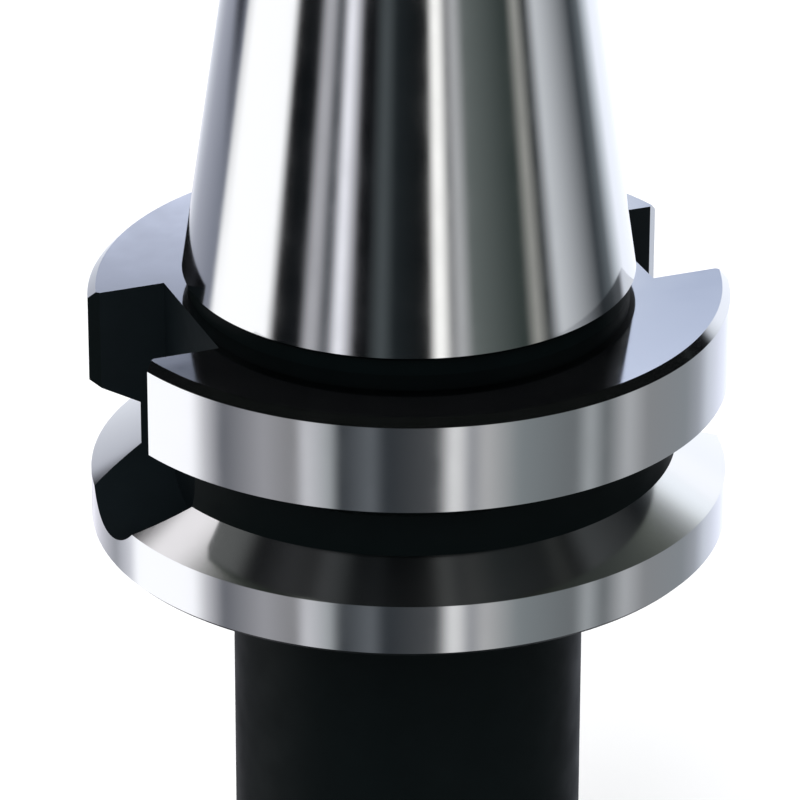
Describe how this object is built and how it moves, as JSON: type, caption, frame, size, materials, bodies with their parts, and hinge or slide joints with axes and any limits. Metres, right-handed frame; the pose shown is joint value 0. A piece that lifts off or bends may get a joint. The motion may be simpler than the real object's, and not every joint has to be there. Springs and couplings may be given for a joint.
{
  "type": "collet chuck holder",
  "caption": "Steep-taper spindle holder with a flanged gripper groove and two drive slots, carrying a slotted clamping nut and a spring collet that grips round tool shanks.",
  "frame": {"origin": "centre of the clamping nut's front face, which the chuck stands on", "axes": "+Z along the spindle axis, from the nut to the small end of the taper; the two drive slots face +X and -X"},
  "size_m": [0.063, 0.063, 0.1654],
  "materials": {
    "holder_steel": "case-hardened alloy steel, ground on taper and flange, black oxide elsewhere",
    "nut_steel": "black oxide over turned steel",
    "collet_steel": "ground spring steel",
    "screw_steel": "black oxide screw steel"
  },
  "bodies": {
    "holder": {"holder_body": "holder_steel"},
    "collet": {"collet": "collet_steel"},
    "nut": {"clamping_nut": "nut_steel"},
    "stop": {"stop_screw": "screw_steel"}
  },
  "joints": [
    {"name": "nut_turn", "type": "hinge", "parent": "collet", "child": "nut", "pos_m": [0, 0, 0.01], "axis": [0, 0, -1], "range_deg": [0, 1980]},
    {"name": "collet_slide", "type": "slide", "parent": "holder", "child": "collet", "axis": [0, 0, -1], "range_m": [0, 0.00825]},
    {"name": "stop_slide", "type": "slide", "parent": "holder", "child": "stop", "axis": [0, 0, 1], "range_m": [-0.008, 0.004]}
  ],
  "couplings": [
    {"joint": "nut_turn", "follows": "collet_slide", "rad_per_m": 4188.8}
  ]
}
